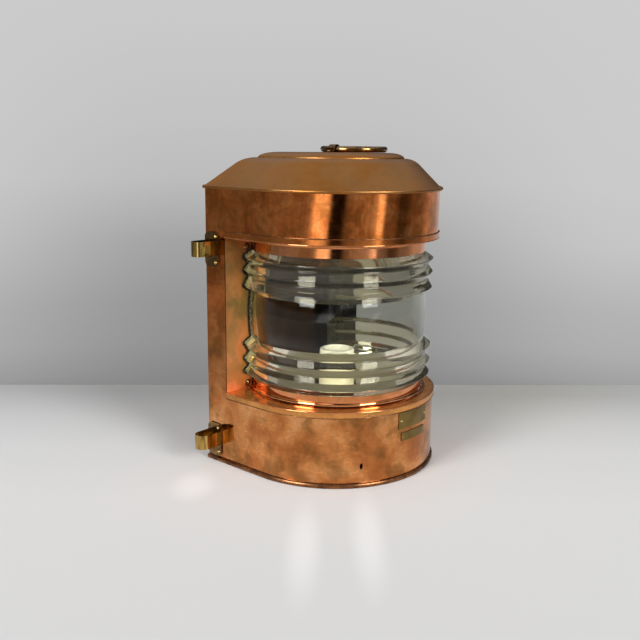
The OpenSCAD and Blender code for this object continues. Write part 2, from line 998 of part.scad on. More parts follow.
// A turn button hangs open beside the door and turns over its edge
module turn_button(z) {
    nose = button_w / 2;
    color(brass)
        translate([button_x, button_y, z])
            rotate([-90, 0, 0])
                linear_extrude(button_t)
                    difference() {
                        union() {
                            circle(r = nose + 1);
                            translate([-nose, 0])
                                square([button_w, button_len - nose]);
                            translate([0, button_len - nose])
                                circle(r = nose);
                        }
                        circle(r = stud_r + run_gap);
                    }
}

module upper_turn_button() {
    turn_button(top_button_z);
}
module lower_turn_button() {
    turn_button(low_button_z);
}

module button_studs() {
    color(brass)
        for (z = [low_button_z, top_button_z])
            translate([button_x, side_len, z])
                rotate([-90, 0, 0]) {
                    cylinder(r = stud_r + 2, h = button_y - side_len - 0.1);
                    cylinder(r = stud_r, h = button_y - side_len + button_t + 0.3);
                    translate([0, 0, button_y - side_len + button_t + 0.1])
                        dome(stud_r + 2, 2);
                }
}

module holder_screw_places() {
    for (s = [-1, 1])
        translate([s * (holder_r - 5), lens_y, 0])
            children();
}

// A porcelain cup with a threaded metal shell and a sprung contact
module lamp_holder() {
    rim = 3;
    arc = [for (k = [0 : 5]) let (a = 90 * k / 5)
        [holder_r - rim + rim * cos(a), holder_h - rim + rim * sin(a)]];
    mouth_r = cap_thread_r + thread_t + 5;
    color("#ece9df")
        translate([0, lens_y, base_h])
            difference() {
                rotate_extrude()
                    polygon(concat([[0, 0], [holder_r, 0]], arc, [[mouth_r + 1, holder_h],
                        [mouth_r, holder_h - 1], [mouth_r, shell_top - base_h],
                        [cap_thread_r + thread_t + slip, shell_top - base_h],
                        [cap_thread_r + thread_t + slip, shell_low - base_h - slip], [0, shell_low - base_h - slip]]));
                for (s = [-1, 1])
                    translate([s * (holder_r - 5), 0, -eps])
                        cylinder(r = small_screw_r + 0.05, h = 10);
                translate([0, 0, -eps])
                    cylinder(r = 4, h = far);
            }
}

module holder_shell() {
    color(brass)
        translate([0, lens_y, shell_low])
            difference() {
                cylinder(r = cap_thread_r + thread_t, h = shell_top - shell_low - slip);
                translate([0, 0, -eps])
                    cylinder(r = cap_thread_r, h = far);
            }
}

module centre_contact() {
    color(brass)
        translate([0, lens_y, shell_low - slip - 6]) {
            cylinder(r = 3.8, h = 6);
            translate([0, 0, 6])
                cylinder(r = 6, h = 0.8);
            translate([0, 0, 6.8])
                dome(3.5, 1.8);
        }
}

module holder_screws() {
    color(brass)
        holder_screw_places() {
            translate([0, 0, base_h - sheet - 0.1])
                cylinder(r = small_screw_r, h = 9);
            translate([0, 0, base_h - sheet - 0.1])
                rotate([180, 0, 0])
                    dome(small_screw_r + 1.8, 1.8);
        }
}

// The cable gland in the back of the base: body, nuts and washer on one axis
module gland_axis() {
    translate([0, side_len, gland_z])
        rotate([-90, 0, 0])
            children();
}

module gland_part(z, r, h, hole, sides) {
    gland_axis()
        translate([0, 0, z])
            difference() {
                cylinder(r = r, h = h, $fn = sides);
                translate([0, 0, -eps])
                    cylinder(r = hole, h = h + 2 * eps);
            }
}
thread_r = gland_r * 0.8;
washer_t = 1.5;
hex_r = gland_r * 1.2;

module gland_body() {
    color(brass)
        gland_axis()
            difference() {
                union() {
                    translate([0, 0, -gland_in])
                        cylinder(r = thread_r, h = gland_long);
                    translate([0, 0, washer_t])
                        cylinder(r = hex_r, h = 6, $fn = 6);
                }
                translate([0, 0, -gland_in - eps])
                    cylinder(r = cable_r, h = gland_long + 2 * eps);
            }
}
gland_in = 9;
gland_long = 24;

module gland_washer() {
    color(black)
        gland_part(0, hex_r, washer_t, thread_r + slip, 96);
}
module gland_lock_nut() {
    color(brass)
        gland_part(-sheet - 5, hex_r, 5, thread_r + 0.05, 6);
}
module gland_cap_nut() {
    color(brass)
        gland_axis()
            translate([0, 0, washer_t + 6.2])
                difference() {
                    union() {
                        cylinder(r = hex_r, h = 8, $fn = 6);
                        translate([0, 0, 8])
                            cylinder(r1 = gland_r, r2 = gland_r - 2, h = 3);
                    }
                    translate([0, 0, -eps])
                        cylinder(r = thread_r + 0.05, h = 13.2 - 5.5 + eps);
                    translate([0, 0, -eps])
                        cylinder(r = cable_r, h = 13);
                }
}

// A plate that follows the wall, centred on the front
module wall_plate(top, w, h, t) {
    half = w / shell_r * 90 / PI;
    rotate([0, 0, -90 - half])
        translate([0, 0, top - h])
            rotate_extrude(angle = 2 * half)
                translate([plate_r, 0])
                    square([t, h]);
}

module large_name_plate() {
    color(brass)
        wall_plate(big_plate_top, big_plate_w, big_plate_h, name_plate_t);
}
module small_name_plate() {
    color(brass)
        wall_plate(small_plate_top, small_plate_w, small_plate_h, name_plate_t);
}

module name_plate_screws() {
    color(brass)
        for (s = [-1, 1], which = [0, 1]) {
            w = which == 0 ? big_plate_w - 10 : small_plate_w - 6;
            z = which == 0 ? big_plate_top - big_plate_h / 2 : small_plate_top - small_plate_h / 2;
            r = which == 0 ? 1.9 : 1.2;
            rotate([0, 0, s * w / shell_r * 90 / PI])
                translate([0, -plate_r - name_plate_t, z])
                    rotate([90, 0, 0])
                        dome(r, 0.7 * r);
        }
}

body_shell();
foot_bead();
bottom_plate();
base_top_plate();
hood_floor_plate();
lower_lens_collar();
upper_lens_collar();
left_wing_panel();
right_wing_panel();
lens();
lower_lens_seat();
upper_lens_seat();
left_lens_gasket();
right_lens_gasket();
left_lens_retainer();
right_lens_retainer();
panel_screws();
panel_nuts();
roof();
roof_cap();
ring_saddle();
saddle_rivets();
lifting_ring();
upper_left_loop();
upper_right_loop();
lower_left_loop();
lower_right_loop();
upper_left_loop_plate();
upper_right_loop_plate();
lower_left_loop_plate();
lower_right_loop_plate();
loop_rivets();
back_frame();
rear_door();
door_seal();
upper_frame_leaf();
lower_frame_leaf();
upper_door_leaf();
lower_door_leaf();
hinge_pins();
frame_leaf_rivets();
door_leaf_rivets();
upper_turn_button();
lower_turn_button();
button_studs();
lamp_holder();
holder_shell();
centre_contact();
holder_screws();
gland_body();
gland_lock_nut();
gland_cap_nut();
gland_washer();
large_name_plate();
small_name_plate();
name_plate_screws();
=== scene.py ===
import math
import bmesh
import bpy
from mathutils import Matrix, Vector


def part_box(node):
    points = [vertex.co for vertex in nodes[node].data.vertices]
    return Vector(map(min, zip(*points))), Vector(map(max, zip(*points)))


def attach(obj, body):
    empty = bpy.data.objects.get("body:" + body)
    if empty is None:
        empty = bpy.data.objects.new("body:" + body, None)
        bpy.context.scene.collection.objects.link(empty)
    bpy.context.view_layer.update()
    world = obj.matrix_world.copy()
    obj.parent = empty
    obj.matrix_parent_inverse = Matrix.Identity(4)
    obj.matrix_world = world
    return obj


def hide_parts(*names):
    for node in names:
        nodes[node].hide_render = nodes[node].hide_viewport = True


# Looks of a copper navigation lantern: the CAD parts carry it, this script adds the lens, small trim and every finish.
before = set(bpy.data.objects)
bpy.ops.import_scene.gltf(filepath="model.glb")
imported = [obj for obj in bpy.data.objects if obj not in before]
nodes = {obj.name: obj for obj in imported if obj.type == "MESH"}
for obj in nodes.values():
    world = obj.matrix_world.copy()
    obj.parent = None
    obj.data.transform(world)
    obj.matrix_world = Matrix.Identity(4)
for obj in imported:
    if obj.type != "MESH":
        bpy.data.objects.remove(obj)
bpy.context.view_layer.update()
print("frame loaded:", len(nodes), "parts")


def linear(hexText, alpha=1.0):
    channels = [int(hexText[i:i + 2], 16) / 255 for i in (0, 2, 4)]
    return [c / 12.92 if c <= 0.04045 else ((c + 0.055) / 1.055) ** 2.4 for c in channels] + [alpha]


# Adds a node: plain settings by name, links holds socket -> value or another node's output, stops fill a colour ramp
def addNode(tree, kind, links=None, stops=None, **settings):
    node = tree.nodes.new(kind)
    for name, value in settings.items():
        setattr(node, name, value)
    for socket, value in (links or {}).items():
        if isinstance(value, bpy.types.NodeSocket):
            tree.links.new(value, node.inputs[socket])
        else:
            node.inputs[socket].default_value = value
    for index, (position, colour) in enumerate(stops or []):
        ramp = node.color_ramp.elements
        stop = ramp[index] if index < 2 else ramp.new(position)
        stop.position, stop.color = position, colour
    return node


def newMaterial(name):
    material = bpy.data.materials.new(name)
    material.use_nodes = True
    tree = material.node_tree
    tree.nodes.clear()
    return material, tree


def grey(value):
    return (value, value, value, 1.0)


# ---- camera, floor and light

shot = {
    "place": (-0.9223, -0.7784, 0.4594),   # metres, in the lantern's own frame
    "turn": 49.27, "tilt": 11.82, "roll": 0.705,   # degrees
    "lens": 46.18, "shift": (-0.00998, -0.00166),
}
cameraData = bpy.data.cameras.new("camera")
cameraData.lens = shot["lens"]
cameraData.sensor_width = 36
cameraData.shift_x, cameraData.shift_y = shot["shift"]
camera = bpy.data.objects.new("camera", cameraData)
camera.matrix_world = (Matrix.Translation(shot["place"])
                       @ Matrix.Rotation(-math.radians(shot["turn"]), 4, "Z")
                       @ Matrix.Rotation(math.radians(90 - shot["tilt"]), 4, "X")
                       @ Matrix.Rotation(math.radians(shot["roll"]), 4, "Z"))
bpy.context.scene.collection.objects.link(camera)
bpy.context.scene.camera = camera
bpy.context.scene.view_settings.view_transform = "Standard"

ground = {
    "back": 0.353,        # metres from the lantern's axis to the far edge, along the camera's view
    "front": 3.0, "side": 3.2,
    "turn": 2.4,          # degrees that the far edge is turned out of square to the camera's view
    # painted light and shade by distance behind the lantern's axis (in front of it where negative), darkest towards the
    # far edge
    "shadeTones": [(-0.5, "DEDEDE"), (-0.35, "E1E1E1"), (-0.19, "E4E4E4"), (0.0, "E1E1E1"), (0.14, "D6D6D6"),
              (0.3, "BFBFBF")],
    # painted pools of light that the lantern throws on the table: place, half size, gain
    "paintedLightPatches": [((-0.193, -0.145), (0.031, 0.05), 0.15),
                ((-0.036, -0.321), (0.021, 0.115), 0.15),
                ((0.042, -0.3), (0.021, 0.12), 0.15)],
    # painted shade that only reflections see: metal sees the table grow darker away from the lantern, and end at its
    # edge
    "reflectedShadeTone": "A29C96", "dimFrom": 0.42, "dimTo": 0.8, "edge": 1.75,
}
viewTurn = -math.radians(shot["turn"])
mesh = bpy.data.meshes.new("floor")
bm = bmesh.new()
bmesh.ops.create_grid(bm, x_segments=1, y_segments=1, size=1)
bmesh.ops.scale(bm, vec=(ground["side"], (ground["back"] + ground["front"]) / 2, 1), verts=bm.verts)
bmesh.ops.translate(bm, vec=(0, (ground["back"] - ground["front"]) / 2, 0), verts=bm.verts)
bmesh.ops.rotate(bm, cent=(0, 0, 0), matrix=Matrix.Rotation(viewTurn + math.radians(ground["turn"]), 3, "Z"),
                 verts=bm.verts)
bm.to_mesh(mesh)
bm.free()
floor = bpy.data.objects.new("floor", mesh)
bpy.context.scene.collection.objects.link(floor)

# Painted board: matt, with painted shade making it a little darker towards its far edge, and painted pools of light
# near the lantern
material, tree = newMaterial("paintedBoard")
coords = addNode(tree, "ShaderNodeTexCoord")
along = addNode(tree, "ShaderNodeMapping", {"Vector": coords.outputs["Object"], "Rotation": (0, 0, -viewTurn)})
parts = addNode(tree, "ShaderNodeSeparateXYZ", {"Vector": along.outputs["Vector"]})
near, far = ground["shadeTones"][0][0], ground["shadeTones"][-1][0]
fade = addNode(tree, "ShaderNodeMapRange", {"Value": parts.outputs["Y"], "From Min": near, "From Max": far})
tone = addNode(tree, "ShaderNodeValToRGB", {"Fac": fade.outputs["Result"]},
               stops=[((y - near) / (far - near), linear(c)) for y, c in ground["shadeTones"]])
lightened = tone.outputs["Color"]
# painted pools of light: each one lifts the board's colour around its place
for (x, y), (halfX, halfY), gain in ground["paintedLightPatches"]:
    local = addNode(tree, "ShaderNodeMapping", {"Vector": along.outputs["Vector"], "Location": (-x / halfX, -y / halfY, 0),
                                                "Scale": (1 / halfX, 1 / halfY, 0)})
    far = addNode(tree, "ShaderNodeVectorMath", {0: local.outputs["Vector"]}, operation="LENGTH")
    lift = addNode(tree, "ShaderNodeMapRange", {"Value": far.outputs["Value"], "From Min": 0.2, "From Max": 1.4,
                                                "To Min": 1 + gain, "To Max": 1.0}, interpolation_type="SMOOTHSTEP")
    lightened = addNode(tree, "ShaderNodeVectorMath", {0: lightened, "Scale": lift.outputs["Result"]},
                        operation="SCALE").outputs[0]
reach = addNode(tree, "ShaderNodeVectorMath", {0: coords.outputs["Object"]}, operation="LENGTH")
dim = addNode(tree, "ShaderNodeMapRange", {"Value": reach.outputs["Value"], "From Min": ground["dimFrom"],
                                           "From Max": ground["dimTo"]}, interpolation_type="SMOOTHSTEP")
kind = addNode(tree, "ShaderNodeLightPath")
# painted shade for reflections only: glossy rays see the board darken away from the lantern
reflectedShadeShare = addNode(tree, "ShaderNodeMath", {0: kind.outputs["Is Glossy Ray"], 1: dim.outputs["Result"]},
                   operation="MULTIPLY")
seen = addNode(tree, "ShaderNodeMix", {0: reflectedShadeShare.outputs[0], 6: lightened, 7: linear(ground["reflectedShadeTone"])},
               data_type="RGBA")
board = addNode(tree, "ShaderNodeBsdfPrincipled", {"Base Color": seen.outputs[2], "Roughness": 0.8,
                                                   "Specular IOR Level": 0.0})
past = addNode(tree, "ShaderNodeMath", {0: reach.outputs["Value"], 1: ground["edge"]}, operation="GREATER_THAN")
gone = addNode(tree, "ShaderNodeMath", {0: kind.outputs["Is Glossy Ray"], 1: past.outputs[0]}, operation="MULTIPLY")
nothing = addNode(tree, "ShaderNodeBsdfTransparent")
table = addNode(tree, "ShaderNodeMixShader", {0: gone.outputs[0], 1: board.outputs["BSDF"],
                                              2: nothing.outputs["BSDF"]})
addNode(tree, "ShaderNodeOutputMaterial", {"Surface": table.outputs["Shader"]})
floor.data.materials.append(material)

# Studio round the lantern. Angles are degrees: turn 0 looks to -Y and grows towards +X, rise is above the horizon.
studio = {
    # backdrop, darker towards the floor line: rise, its tone away from the lantern, its tone beside it under a painted
    # shadow
    "wall": [(-16.2, "909090", "868686"), (-15.2, "A0A0A0", "8A8A8A"), (-13.3, "AEAEAE", "929292"),
             (-10.5, "B4B4B4", "969696"), (-6.3, "C5C5C5", "A3A3A3"), (-2.2, "CACACA", "BCBCBC"),
             (1.8, "CBCBCB", "C3C3C3"), (9, "CCCCCC", "CACACA")],
    "shadeTurn": 134.7, "shadeFrom": 5.5, "shadeTo": 24.5,
    # what polished copper sees near the horizon: turn, brightness
    "round": [(-180, 0.36), (-150, 0.25), (-137, 0.17), (-115, 0.24), (-104, 0.25), (-84, 0.22), (-79, 0.34),
              (-76, 0.62), (-72, 1.4), (-61, 1.5), (-58, 0.8), (-56, 0.012), (-43, 0.01), (-40, 0.15), (-35, 0.24),
              (-24, 0.34), (-12, 0.4), (-6, 0.6), (-4, 1.5), (1, 1.4), (3, 0.3), (6, 0.18), (14, 0.22), (21, 0.07),
              (29, 0.075), (38, 0.18), (50, 0.2), (58, 0.26), (66, 0.48), (87, 0.5), (106, 0.55), (180, 0.36)],
    "lean": 1.5,           # the lit bands lean by this many degrees of turn for each degree of rise
    "dimFrom": -2.5, "dimTo": -0.5, "dimDepth": 0.15,   # between the windows the room is dark above the table's height
    "ceiling": 0.62, "ceilingFrom": 14, "ceilingTo": 42,
    "windows": [(-102, -80), (-17, 4)], "windowRise": (3.2, 28.0), "windowGlow": 14.0,
    "windowDepth": 3.5,    # windows show in the near wall of the glass only, not after more crossings than this
    "behindFrom": 0.35, "behindTo": 0.6, "behindGain": 0.56,   # glass shows the backdrop only where it lies behind
    "soft": 0.28,          # what matt surfaces receive from the room
}
world = bpy.data.worlds.new("studio")
bpy.context.scene.world = world
world.use_nodes = True
tree = world.node_tree
tree.nodes.clear()
coords = addNode(tree, "ShaderNodeTexCoord")
parts = addNode(tree, "ShaderNodeSeparateXYZ", {"Vector": coords.outputs["Generated"]})
forward = addNode(tree, "ShaderNodeMath", {0: parts.outputs["Y"], 1: -1.0}, operation="MULTIPLY")
turn = addNode(tree, "ShaderNodeMath", {0: parts.outputs["X"], 1: forward.outputs[0]}, operation="ARCTAN2")
turnDeg = addNode(tree, "ShaderNodeMath", {0: turn.outputs[0]}, operation="DEGREES")
rise = addNode(tree, "ShaderNodeMath", {0: parts.outputs["Z"]}, operation="ARCSINE")
riseDeg = addNode(tree, "ShaderNodeMath", {0: rise.outputs[0]}, operation="DEGREES")

low, high = studio["wall"][0][0], studio["wall"][-1][0]
height = addNode(tree, "ShaderNodeMapRange", {"Value": riseDeg.outputs[0], "From Min": low, "From Max": high})
farTone, shadowedWallTone = [addNode(tree, "ShaderNodeValToRGB", {"Fac": height.outputs["Result"]},
                        stops=[((row[0] - low) / (high - low), linear(row[k])) for row in studio["wall"]])
                for k in (1, 2)]
offset = addNode(tree, "ShaderNodeMath", {0: turnDeg.outputs[0], 1: studio["shadeTurn"]}, operation="SUBTRACT")
apart = addNode(tree, "ShaderNodeMath", {0: offset.outputs[0]}, operation="ABSOLUTE")
shade = addNode(tree, "ShaderNodeMapRange",
                {"Value": apart.outputs[0], "From Min": studio["shadeFrom"], "From Max": studio["shadeTo"],
                 "To Min": 1.0, "To Max": 0.0}, interpolation_type="SMOOTHSTEP")
# painted shadow: the backdrop darkens beside the lantern
backdrop = addNode(tree, "ShaderNodeMix", {0: shade.outputs["Result"], 6: farTone.outputs["Color"],
                                           7: shadowedWallTone.outputs["Color"]}, data_type="RGBA")

lean = addNode(tree, "ShaderNodeMath", {0: riseDeg.outputs[0], 1: -studio["lean"], 2: -5 * studio["lean"]},
               operation="MULTIPLY_ADD")
leant = addNode(tree, "ShaderNodeMath", {0: turnDeg.outputs[0], 1: lean.outputs[0]}, operation="ADD")
angle = addNode(tree, "ShaderNodeMapRange", {"Value": leant.outputs[0], "From Min": -180, "From Max": 180})
room = addNode(tree, "ShaderNodeValToRGB", {"Fac": angle.outputs["Result"]},
               stops=[((a + 180) / 360, grey(min(v / 2, 1))) for a, v in studio["round"]])
streakTurn = addNode(tree, "ShaderNodeCombineXYZ", {"X": leant.outputs[0], "Y": 0.0, "Z": 0.0})
streak = addNode(tree, "ShaderNodeTexNoise", {"Vector": streakTurn.outputs[0], "Scale": 0.45, "Detail": 3.0,
                                              "Roughness": 0.7})
streakGain = addNode(tree, "ShaderNodeMapRange", {"Value": streak.outputs["Fac"], "From Min": 0.3, "From Max": 0.7,
                                                  "To Min": 1.1, "To Max": 2.9})
roomGlow = addNode(tree, "ShaderNodeMath", {0: room.outputs["Color"], 1: streakGain.outputs["Result"]},
                   operation="MULTIPLY")
dim = addNode(tree, "ShaderNodeMapRange",
              {"Value": riseDeg.outputs[0], "From Min": studio["dimFrom"], "From Max": studio["dimTo"],
               "To Min": 1.0, "To Max": studio["dimDepth"]}, interpolation_type="SMOOTHSTEP")
dimmed = addNode(tree, "ShaderNodeMath", {0: roomGlow.outputs[0], 1: dim.outputs["Result"]}, operation="MULTIPLY")
ceilingShare = addNode(tree, "ShaderNodeMapRange",
                       {"Value": riseDeg.outputs[0], "From Min": studio["ceilingFrom"],
                        "From Max": studio["ceilingTo"]}, interpolation_type="SMOOTHSTEP")
upper = addNode(tree, "ShaderNodeMix", {0: ceilingShare.outputs["Result"], 2: dimmed.outputs[0],
                                        3: studio["ceiling"]}, data_type="FLOAT")
glow = upper.outputs[0]
kind = addNode(tree, "ShaderNodeLightPath")
direct = addNode(tree, "ShaderNodeMath", {0: kind.outputs["Transmission Depth"], 1: studio["windowDepth"]},
                 operation="LESS_THAN")
windowGlow = addNode(tree, "ShaderNodeMath", {0: direct.outputs[0], 1: studio["windowGlow"]}, operation="MULTIPLY")
bottom, top = studio["windowRise"]
for start, end in studio["windows"]:
    inTurn = addNode(tree, "ShaderNodeMath", {0: turnDeg.outputs[0], 1: (start + end) / 2, 2: (end - start) / 2},
                     operation="COMPARE")
    inRise = addNode(tree, "ShaderNodeMath", {0: riseDeg.outputs[0], 1: (bottom + top) / 2, 2: (top - bottom) / 2},
                     operation="COMPARE")
    both = addNode(tree, "ShaderNodeMath", {0: inTurn.outputs[0], 1: inRise.outputs[0]}, operation="MULTIPLY")
    lit = addNode(tree, "ShaderNodeMath", {0: both.outputs[0], 1: windowGlow.outputs[0], 2: glow},
                  operation="MULTIPLY_ADD")
    glow = lit.outputs[0]

away = -viewTurn
facing = addNode(tree, "ShaderNodeVectorMath", {0: coords.outputs["Generated"],
                                                1: (math.sin(away), math.cos(away), 0)}, operation="DOT_PRODUCT")
behind = addNode(tree, "ShaderNodeMapRange", {"Value": facing.outputs["Value"], "From Min": studio["behindFrom"],
                                              "From Max": studio["behindTo"]}, interpolation_type="SMOOTHSTEP")
through = addNode(tree, "ShaderNodeMath", {0: kind.outputs["Is Transmission Ray"], 1: behind.outputs["Result"]},
                  operation="MULTIPLY")
farWall = addNode(tree, "ShaderNodeVectorMath", {0: farTone.outputs["Color"], "Scale": studio["behindGain"]},
                  operation="SCALE")
softShare = addNode(tree, "ShaderNodeMix", {0: kind.outputs["Is Diffuse Ray"], 2: glow, 3: studio["soft"]},
                    data_type="FLOAT")
inGlass = addNode(tree, "ShaderNodeMix", {0: through.outputs[0], 6: softShare.outputs[0], 7: farWall.outputs[0]},
                  data_type="RGBA")
colour = addNode(tree, "ShaderNodeMix", {0: kind.outputs["Is Camera Ray"], 6: inGlass.outputs[2],
                                         7: backdrop.outputs[2]}, data_type="RGBA")
sky = addNode(tree, "ShaderNodeBackground", {"Color": colour.outputs[2], "Strength": 1.0})
addNode(tree, "ShaderNodeOutputWorld", {"Surface": sky.outputs["Background"]})

# Two soft window lights, one on each side of the camera
lamps = [
    {"name": "leftWindow", "turn": -95, "rise": 24, "far": 3.2, "size": (1.45, 1.16), "watts": 31},
    {"name": "rightWindow", "turn": -4, "rise": 24, "far": 3.2, "size": (1.45, 1.16), "watts": 31},
]
for lamp in lamps:
    data = bpy.data.lights.new(lamp["name"], "AREA")
    data.shape = "RECTANGLE"
    data.size, data.size_y = lamp["size"]
    data.energy = lamp["watts"]
    light = bpy.data.objects.new(lamp["name"], data)
    a, e = math.radians(lamp["turn"]), math.radians(lamp["rise"])
    towards = Vector((math.sin(a) * math.cos(e), -math.cos(a) * math.cos(e), math.sin(e)))
    light.location = towards * lamp["far"] + Vector((0, 0, 0.15))
    light.rotation_euler = towards.to_track_quat("Z", "Y").to_euler()
    light.visible_glossy = False
    light.visible_camera = False
    bpy.context.scene.collection.objects.link(light)
print("camera, floor and studio ready")

# ---- finishes


# Colour of a worked metal sheet: clouds of oxide, darker smoke marks and a fine mottle over both.
# Gives back the colour and how much smoke lies on each place.
def sheetTone(tree, place, look):
    cloud = addNode(tree, "ShaderNodeTexNoise", {"Vector": place, "Scale": 1000 / look["cloudMm"], "Detail": 3.0,
                                                 "Roughness": 0.5, "Distortion": look.get("swirl", 0.3)})
    base = addNode(tree, "ShaderNodeValToRGB", {"Fac": cloud.outputs["Fac"]},
                   stops=[(p, linear(c)) for p, c in look["colours"]])
    smoke = addNode(tree, "ShaderNodeTexNoise", {"Vector": place, "Scale": 1000 / look["smokeMm"], "Detail": 2.5,
                                                 "Roughness": 0.55, "Distortion": look.get("swirl", 0.3)})
    share = addNode(tree, "ShaderNodeMapRange",
                    {"Value": smoke.outputs["Fac"], "From Min": look["smokeAt"] - look["smokeEdge"],
                     "From Max": look["smokeAt"] + look["smokeEdge"], "To Max": look["smokeDepth"]},
                    interpolation_type="SMOOTHSTEP")
    smoked = addNode(tree, "ShaderNodeMix", {0: share.outputs["Result"], 6: base.outputs["Color"],
                                             7: linear(look["smokeColour"])}, data_type="RGBA")
    fine = addNode(tree, "ShaderNodeTexNoise", {"Vector": place, "Scale": 1000 / look["mottleMm"], "Detail": 4.0,
                                                "Roughness": 0.65})
    gain = addNode(tree, "ShaderNodeMapRange",
                   {"Value": fine.outputs["Fac"], "From Min": 0.3, "From Max": 0.7, "To Min": 1 - look["mottle"],
                    "To Max": 1 + look["mottle"]})
    tone = addNode(tree, "ShaderNodeVectorMath", {0: smoked.outputs[2], "Scale": gain.outputs["Result"]},
                   operation="SCALE")
    if "scratch" in look:
        lines = addNode(tree, "ShaderNodeMapping", {"Vector": place, "Scale": (0.4, 0.4, 2.4),
                                                    "Rotation": (0.5, 0.4, 0.2)})
        hairs = addNode(tree, "ShaderNodeTexNoise", {"Vector": lines.outputs[0], "Detail": 3.0, "Distortion": 2.5,
                                                     "Scale": 1000 / look["scratchMm"]})
        lift = addNode(tree, "ShaderNodeMapRange", {"Value": hairs.outputs["Fac"], "From Min": 0.56, "From Max": 0.7,
                                                    "To Min": 1.0, "To Max": 1 + look["scratch"]})
        tone = addNode(tree, "ShaderNodeVectorMath", {0: tone.outputs[0], "Scale": lift.outputs["Result"]},
                       operation="SCALE")
    return tone.outputs[0], share.outputs["Result"]


# Worked sheet: a metal under a thin uneven film of oxide, with wiping marks in its gloss and shallow dents
def sheetFinish(name, look):
    material, tree = newMaterial(name)
    coords = addNode(tree, "ShaderNodeTexCoord")
    place = addNode(tree, "ShaderNodeMapping", {"Vector": coords.outputs["Object"], "Location": look["shift"],
                                                "Scale": look.get("stretch", (1, 1, 1))})
    colour, smoke = sheetTone(tree, place.outputs[0], look)
    haze = look["smokeHaze"]
    if "above" in look:   # another look above a given height
        upper = look["above"]
        parts = addNode(tree, "ShaderNodeSeparateXYZ", {"Vector": coords.outputs["Object"]})
        high = addNode(tree, "ShaderNodeMapRange", {"Value": parts.outputs["Z"], "From Min": upper["from"],
                                                    "From Max": upper["to"]}, interpolation_type="SMOOTHSTEP")
        upperColour, upperSmoke = sheetTone(tree, place.outputs[0], upper)
        colour = addNode(tree, "ShaderNodeMix", {0: high.outputs["Result"], 6: colour, 7: upperColour},
                         data_type="RGBA").outputs[2]
        smoke = addNode(tree, "ShaderNodeMix", {0: high.outputs["Result"], 2: smoke, 3: upperSmoke},
                        data_type="FLOAT").outputs[0]
        haze = addNode(tree, "ShaderNodeMix", {0: high.outputs["Result"], 2: haze, 3: upper["smokeHaze"]},
                       data_type="FLOAT").outputs[0]
    wipe = addNode(tree, "ShaderNodeMapping", {"Vector": place.outputs[0], "Scale": look.get("wipe", (1, 1, 3.5)),
                                               "Rotation": (0.2, 0.15, 0.3)})
    marks = addNode(tree, "ShaderNodeTexNoise", {"Vector": wipe.outputs[0], "Scale": 1000 / look.get("wipeMm", 11),
                                                 "Detail": 5.0, "Roughness": 0.65})
    gloss = addNode(tree, "ShaderNodeMapRange",
                    {"Value": marks.outputs["Fac"], "From Min": 0.3, "From Max": 0.7,
                     "To Min": look["gloss"][0], "To Max": look["gloss"][1]})
    rough = addNode(tree, "ShaderNodeMath", {0: smoke, 1: haze, 2: gloss.outputs["Result"]},
                    operation="MULTIPLY_ADD")
    dent = addNode(tree, "ShaderNodeTexNoise", {"Vector": coords.outputs["Object"], "Scale": 1000 / look["dentMm"],
                                                "Detail": 1.0})
    wave = addNode(tree, "ShaderNodeBump", {"Height": dent.outputs["Fac"], "Strength": 1.0,
                                            "Distance": look["dentDeepMm"] / 1000})
    grain = addNode(tree, "ShaderNodeBump", {"Height": marks.outputs["Fac"], "Strength": 0.5,
                                             "Distance": look["grainMm"] / 1000, "Normal": wave.outputs["Normal"]})
    if "inner" in look:   # the side that faces into the casing
        inner = look["inner"]
        outward = addNode(tree, "ShaderNodeVectorMath", {0: coords.outputs["Object"], 1: inner["centre"]},
                          operation="SUBTRACT")
        level = addNode(tree, "ShaderNodeVectorMath", {0: outward.outputs[0], 1: inner["weights"]},
                        operation="MULTIPLY")
        facing = addNode(tree, "ShaderNodeVectorMath", {0: level.outputs[0], 1: coords.outputs["Normal"]},
                         operation="DOT_PRODUCT")
        inside = addNode(tree, "ShaderNodeMath", {0: facing.outputs["Value"], 1: 0.0}, operation="LESS_THAN")
        streaks = addNode(tree, "ShaderNodeMapping", {"Vector": place.outputs[0], "Scale": (1, 1, 0.5)})
        run = addNode(tree, "ShaderNodeTexNoise", {"Vector": streaks.outputs[0], "Scale": 30.0, "Detail": 3.0,
                                                   "Roughness": 0.5})
        # the side facing into the casing gets a dark streaked colour
        darkInside = addNode(tree, "ShaderNodeValToRGB", {"Fac": run.outputs["Fac"]},
                       stops=[(0.35, linear(inner["colours"][0])), (0.7, linear(inner["colours"][1]))])
        colour = addNode(tree, "ShaderNodeMix", {0: inside.outputs[0], 6: colour, 7: darkInside.outputs["Color"]},
                         data_type="RGBA").outputs[2]
        rough = addNode(tree, "ShaderNodeMath", {0: inside.outputs[0], 1: 0.45, 2: rough.outputs[0]},
                        operation="MULTIPLY_ADD")
    if "well" in look:   # pale grey and rougher within this radius round the lens's axis
        flat = addNode(tree, "ShaderNodeVectorMath", {0: coords.outputs["Object"], 1: look["well"]["centre"]},
                       operation="SUBTRACT")
        level = addNode(tree, "ShaderNodeVectorMath", {0: flat.outputs[0], 1: (1, 1, 0)}, operation="MULTIPLY")
        reach = addNode(tree, "ShaderNodeVectorMath", {0: level.outputs[0]}, operation="LENGTH")
        within = addNode(tree, "ShaderNodeMath", {0: reach.outputs["Value"], 1: look["well"]["radius"]},
                         operation="LESS_THAN")
        colour = addNode(tree, "ShaderNodeMix", {0: within.outputs[0], 6: colour, 7: linear(look["well"]["colour"])},
                         data_type="RGBA").outputs[2]
        rough = addNode(tree, "ShaderNodeMath", {0: within.outputs[0], 1: 0.4, 2: rough.outputs[0]},
                        operation="MULTIPLY_ADD")
    metal = addNode(tree, "ShaderNodeBsdfPrincipled", {"Base Color": colour, "Metallic": look.get("bare", 1.0),
                                                       "Roughness": rough.outputs[0],
                                                       "Normal": grain.outputs["Normal"]})
    addNode(tree, "ShaderNodeOutputMaterial", {"Surface": metal.outputs["BSDF"]})
    return material


